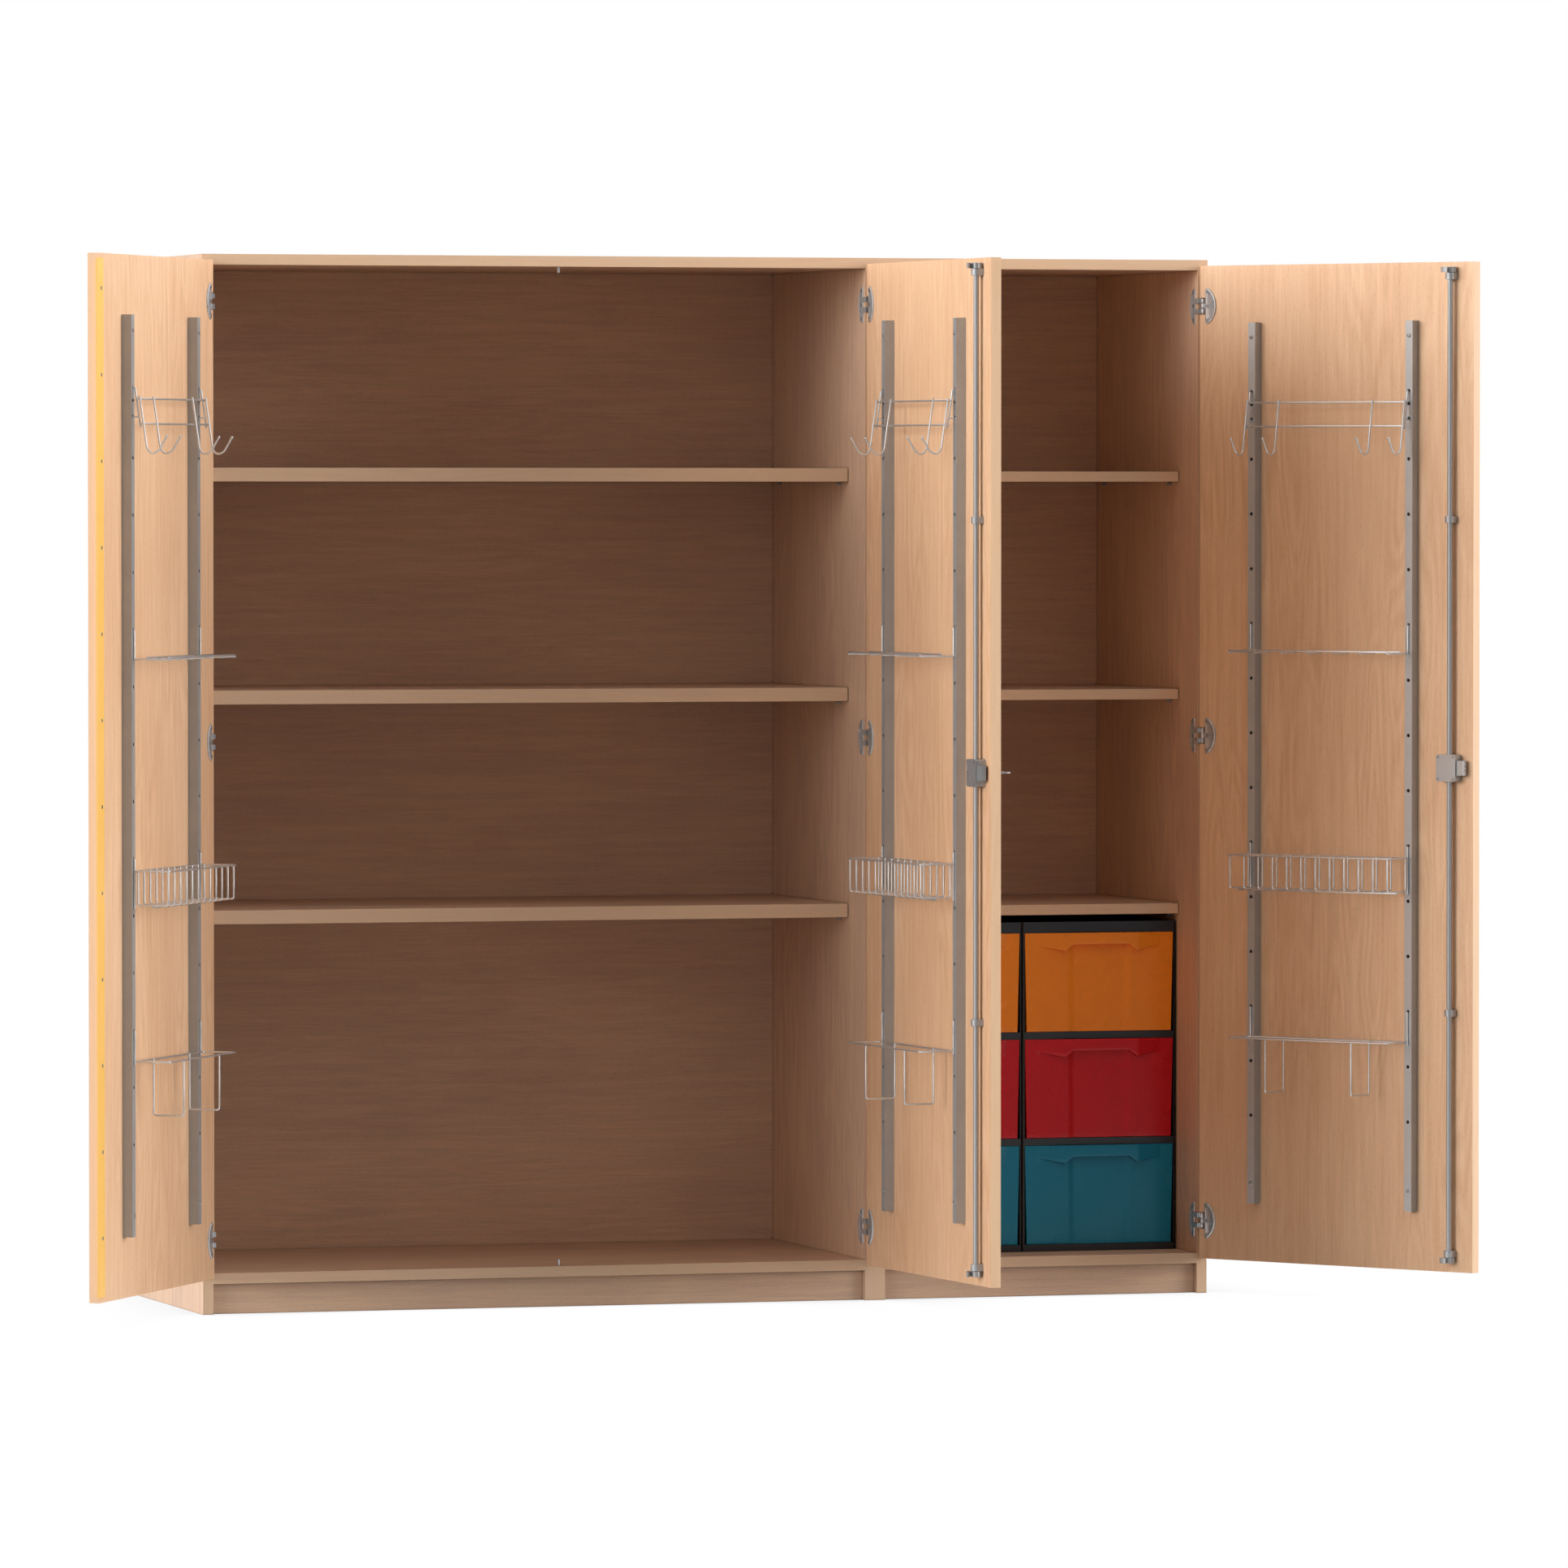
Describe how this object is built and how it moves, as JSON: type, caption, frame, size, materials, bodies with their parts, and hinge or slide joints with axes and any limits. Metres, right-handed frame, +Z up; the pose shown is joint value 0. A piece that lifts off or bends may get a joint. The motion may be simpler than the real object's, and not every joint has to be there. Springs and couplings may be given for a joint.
{
  "type": "lockable storage cabinet",
  "caption": "Freestanding lockable storage cabinet with overlay doors on side hinges, shelves, stacked plastic drawers, wire racks in slotted rails on the doors and turning-rod locks.",
  "frame": {"origin": "on the floor at mid-width, in the middle of the thickness of the plinth boards", "axes": "+X across the width to the viewer's right, +Y from the doors to the back panel, +Z up"},
  "size_m": [2.5793, 1.2253, 1.9],
  "materials": {
    "beech": "satin",
    "dark_back": "satin",
    "dowel_wood": "matte",
    "lip": "satin",
    "steel": "satin",
    "rail": "satin",
    "wire": "polished",
    "black_plastic": "satin",
    "teal": "satin",
    "red": "satin",
    "orange": "satin"
  },
  "bodies": {
    "carcass": {"left_side": "beech", "right_side": "beech", "top_panel": "beech", "wide_bottom": "beech", "narrow_bottom": "beech", "back_panel": "dark_back", "wide_plinth": "beech", "narrow_plinth": "beech", "wide_shelves": "beech", "narrow_shelves": "beech", "shelf_pins": "steel", "dowels": "dowel_wood", "hinge_plates": "steel", "hinge_pins": "steel", "carcass_screws": "steel", "strike_pins": "steel", "left_housings": "black_plastic", "right_housings": "black_plastic", "middle_wall": "beech"},
    "left_leaf": {"left_door": "beech", "closing_lip": "lip", "left_hinge_leaves": "steel", "left_rails": "rail", "left_door_screws": "steel", "left_hook_rack": "wire", "left_tray": "wire", "left_basket": "wire", "left_holder": "wire"},
    "middle_leaf": {"middle_door": "beech", "middle_lock_case": "steel", "middle_rod_guides": "steel", "middle_hinge_leaves": "steel", "middle_rails": "rail", "middle_door_screws": "steel", "middle_hook_rack": "wire", "middle_tray": "wire", "middle_basket": "wire", "middle_holder": "wire"},
    "right_leaf": {"right_door": "beech", "right_lock_case": "steel", "right_rod_guides": "steel", "right_hinge_leaves": "steel", "right_rails": "rail", "right_door_screws": "steel", "right_hook_rack": "wire", "right_tray": "wire", "right_basket": "wire", "right_holder": "wire"},
    "middle_key": {"middle_key": "steel"},
    "middle_rod": {"middle_rod": "wire"},
    "middle_bolt": {"middle_bolt": "steel"},
    "right_key": {"right_key": "steel"},
    "right_rod": {"right_rod": "wire"},
    "right_bolt": {"right_bolt": "steel"},
    "low_left_drawer": {"low_left_drawer": "teal"},
    "low_right_drawer": {"low_right_drawer": "teal"},
    "mid_left_drawer": {"mid_left_drawer": "red"},
    "mid_right_drawer": {"mid_right_drawer": "red"},
    "top_left_drawer": {"top_left_drawer": "orange"},
    "top_right_drawer": {"top_right_drawer": "orange"}
  },
  "joints": [
    {"name": "left_door_hinge", "type": "hinge", "parent": "carcass", "child": "left_leaf", "pos_m": [-0.939, -0.0325, 1.027], "axis": [0, 0, 1], "range_deg": [-1.5, 122.6]},
    {"name": "middle_door_hinge", "type": "hinge", "parent": "carcass", "child": "middle_leaf", "pos_m": [0.3, -0.0325, 1.027], "axis": [0, 0, 1], "range_deg": [-93.5, 26]},
    {"name": "right_door_hinge", "type": "hinge", "parent": "carcass", "child": "right_leaf", "pos_m": [0.939, -0.0325, 1.027], "axis": [0, 0, -1], "range_deg": [-1.3, 123.7]},
    {"name": "middle_key_turn", "type": "hinge", "parent": "middle_leaf", "child": "middle_key", "pos_m": [0.34709, -0.60418, 0.9765], "axis": [-0.9981, -0.0623, 0], "range_deg": [0, 90]},
    {"name": "middle_rod_turn", "type": "hinge", "parent": "middle_leaf", "child": "middle_rod", "pos_m": [0.31715, -0.60604, 1.027], "axis": [0, 0, 1], "range_deg": [0, 90]},
    {"name": "middle_bolt_slide", "type": "slide", "parent": "middle_leaf", "child": "middle_bolt", "axis": [0.0623, -0.9981, 0], "range_m": [0, 0.01]},
    {"name": "right_key_turn", "type": "hinge", "parent": "right_leaf", "child": "right_key", "pos_m": [1.26669, -0.5033, 0.9765], "axis": [-0.832, -0.5548, 0], "range_deg": [-90, 0]},
    {"name": "right_rod_turn", "type": "hinge", "parent": "right_leaf", "child": "right_rod", "pos_m": [1.24173, -0.51995, 1.027], "axis": [0, 0, -1], "range_deg": [-90, 0]},
    {"name": "right_bolt_slide", "type": "slide", "parent": "right_leaf", "child": "right_bolt", "axis": [-0.5548, 0.832, 0], "range_m": [-0.01, 0]},
    {"name": "low_left_drawer_slide", "type": "slide", "parent": "carcass", "child": "low_left_drawer", "axis": [0, 1, 0], "range_m": [-0.28, 0]},
    {"name": "low_right_drawer_slide", "type": "slide", "parent": "carcass", "child": "low_right_drawer", "axis": [0, 1, 0], "range_m": [-0.28, 0]},
    {"name": "mid_left_drawer_slide", "type": "slide", "parent": "carcass", "child": "mid_left_drawer", "axis": [0, 1, 0], "range_m": [-0.28, 0]},
    {"name": "mid_right_drawer_slide", "type": "slide", "parent": "carcass", "child": "mid_right_drawer", "axis": [0, 1, 0], "range_m": [-0.28, 0]},
    {"name": "top_left_drawer_slide", "type": "slide", "parent": "carcass", "child": "top_left_drawer", "axis": [0, 1, 0], "range_m": [-0.28, 0]},
    {"name": "top_right_drawer_slide", "type": "slide", "parent": "carcass", "child": "top_right_drawer", "axis": [0, 1, 0], "range_m": [-0.28, 0]}
  ],
  "couplings": [
    {"joint": "middle_key_turn", "follows": "middle_rod_turn", "ratio": 1},
    {"joint": "middle_bolt_slide", "follows": "middle_rod_turn", "m_per_rad": 0.0063598},
    {"joint": "right_key_turn", "follows": "right_rod_turn", "ratio": 1},
    {"joint": "right_bolt_slide", "follows": "right_rod_turn", "m_per_rad": 0.0063598}
  ]
}
